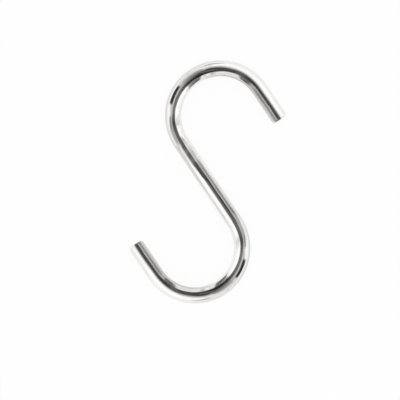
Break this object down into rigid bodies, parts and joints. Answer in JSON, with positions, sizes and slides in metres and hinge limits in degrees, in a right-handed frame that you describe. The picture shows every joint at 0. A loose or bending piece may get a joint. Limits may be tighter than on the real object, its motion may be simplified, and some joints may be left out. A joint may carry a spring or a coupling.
{
  "type": "pipe display hook",
  "caption": "S-shaped hook of round chromed steel wire: one bend rides on a display pipe, the other carries the goods.",
  "frame": {"origin": "under the middle of the shank, in the plane of the surface that the hook lies on", "axes": "+Y along the line of pull, from the load bend to the pipe bend; +Z square to the flat of the hook, away from that surface; the hook reads as a letter S from +Z"},
  "size_m": [0.0464, 0.0894, 0.006],
  "materials": {
    "chromed_wire": "polished chrome plate over round steel wire"
  },
  "bodies": {
    "root": {"s_hook": "chromed_wire"}
  },
  "joints": []
}
